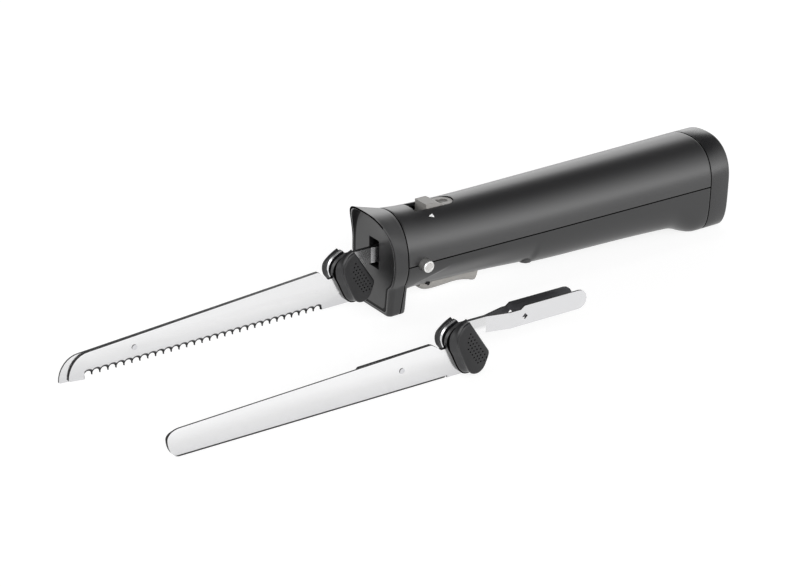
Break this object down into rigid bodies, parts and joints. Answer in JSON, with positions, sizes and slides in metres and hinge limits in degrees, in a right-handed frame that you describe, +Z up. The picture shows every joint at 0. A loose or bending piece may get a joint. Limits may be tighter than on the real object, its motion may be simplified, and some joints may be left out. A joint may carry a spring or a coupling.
{
  "type": "electric carving knife",
  "caption": "Hand-held electric carving knife with paired serrated blades that reciprocate, knuckle guard, trigger and safety slider, beside a spare fine-edged blade pair.",
  "frame": {"origin": "middle of the knuckle guard's foot, on the table", "axes": "+Z up, +X along the handle towards its rear end, the blades point to -X; +Y is the right-hand side seen from behind"},
  "size_m": [0.468, 0.1344, 0.0653],
  "materials": {
    "housing": "satin",
    "cap": "satin",
    "guards": "fine satin",
    "controls": "satin",
    "buttons": "satin metallic",
    "blade_steel": "polished",
    "small_steel": "bright",
    "frame": "moulded",
    "slides": "natural acetal",
    "worm_alloy": "die cast",
    "bronze": "sintered",
    "can": "zinc plated",
    "magnets": "ground ferrite",
    "windings": "enamelled copper over laminations",
    "brush_moulding": "phenolic",
    "carbon": "carbon",
    "board": "laminate",
    "switch": "moulded"
  },
  "bodies": {
    "handle": {"front_collar": "housing", "upper_shell": "housing", "lower_shell": "housing", "rear_cap": "cap", "inlet_bushing": "cap", "housing_screws": "small_steel", "trigger_pin": "small_steel", "trigger_spring": "small_steel", "gear_frame": "frame", "wheel_axle": "small_steel", "worm_bush": "bronze", "motor_can": "can", "field_magnets": "magnets", "front_bush": "bronze", "rear_bush": "bronze", "brush_cap": "brush_moulding", "brushes": "carbon", "rectifier_board": "board", "micro_switch": "switch", "spare_blade_right": "blade_steel", "spare_guard_right": "guards"},
    "safety_slider": {"safety_slider": "controls"},
    "trigger": {"trigger": "controls"},
    "left_button": {"release_button_left": "buttons", "button_spring_left": "small_steel"},
    "right_button": {"release_button_right": "buttons", "button_spring_right": "small_steel"},
    "rotor": {"rotor_shaft": "small_steel", "armature": "windings", "commutator": "windings", "cooling_fan": "slides", "worm": "worm_alloy"},
    "wheel": {"worm_wheel": "slides"},
    "left_drive": {"drive_slide_left": "slides", "blade_catch_left": "small_steel"},
    "right_drive": {"drive_slide_right": "slides", "blade_catch_right": "small_steel"},
    "left_blade": {"blade_left": "blade_steel", "blade_guard_left": "guards", "blade_rivet": "small_steel"},
    "right_blade": {"blade_right": "blade_steel", "blade_guard_right": "guards"},
    "spare_half": {"spare_blade_left": "blade_steel", "spare_guard_left": "guards", "spare_rivet": "small_steel"}
  },
  "joints": [
    {"name": "rotor_spin", "type": "hinge", "parent": "handle", "child": "rotor", "pos_m": [0.1122, 0, 0.0324], "axis": [1, 0, 0], "range_deg": [-900, 900]},
    {"name": "wheel_turn", "type": "hinge", "parent": "handle", "child": "wheel", "pos_m": [0.0762, 0, 0.0454], "axis": [0, 1, 0], "range_deg": [-90, 90]},
    {"name": "left_stroke", "type": "slide", "parent": "handle", "child": "left_drive", "axis": [1, 0, 0], "range_m": [-0.0028, 0.0028]},
    {"name": "right_stroke", "type": "slide", "parent": "handle", "child": "right_drive", "axis": [1, 0, 0], "range_m": [-0.0028, 0.0028]},
    {"name": "left_blade_pull", "type": "slide", "parent": "left_drive", "child": "left_blade", "axis": [-1, 0, 0], "range_m": [0, 0.075]},
    {"name": "right_blade_pull", "type": "slide", "parent": "right_drive", "child": "right_blade", "axis": [-1, 0, 0], "range_m": [0, 0.075]},
    {"name": "safety_slide", "type": "slide", "parent": "handle", "child": "safety_slider", "axis": [-1, 0, 0], "range_m": [0, 0.0075]},
    {"name": "trigger_press", "type": "hinge", "parent": "handle", "child": "trigger", "pos_m": [0.0272, 0, 0.0118], "axis": [0, -1, 0], "range_deg": [0, 4.5], "stiffness_Nm_per_rad": 3, "springref_deg": -2.86, "deforming": ["trigger_spring"]},
    {"name": "left_button_press", "type": "slide", "parent": "handle", "child": "left_button", "axis": [0, 1, 0], "range_m": [0, 0.003], "stiffness_N_per_m": 400, "springref_m": -0.0015},
    {"name": "right_button_press", "type": "slide", "parent": "handle", "child": "right_button", "axis": [0, -1, 0], "range_m": [0, 0.003], "stiffness_N_per_m": 400, "springref_m": -0.0015},
    {"name": "spare_half_slide", "type": "slide", "parent": "handle", "child": "spare_half", "axis": [0.9997, -0.0262, 0], "range_m": [-0.0056, 0.0056]}
  ],
  "couplings": [
    {"joint": "wheel_turn", "follows": "rotor_spin", "ratio": 0.1},
    {"joint": "left_stroke", "follows": "rotor_spin", "m_per_rad": 0.00017825},
    {"joint": "right_stroke", "follows": "rotor_spin", "m_per_rad": -0.00017825},
    {"joint": "right_blade_pull", "follows": "left_blade_pull", "ratio": 1}
  ]
}
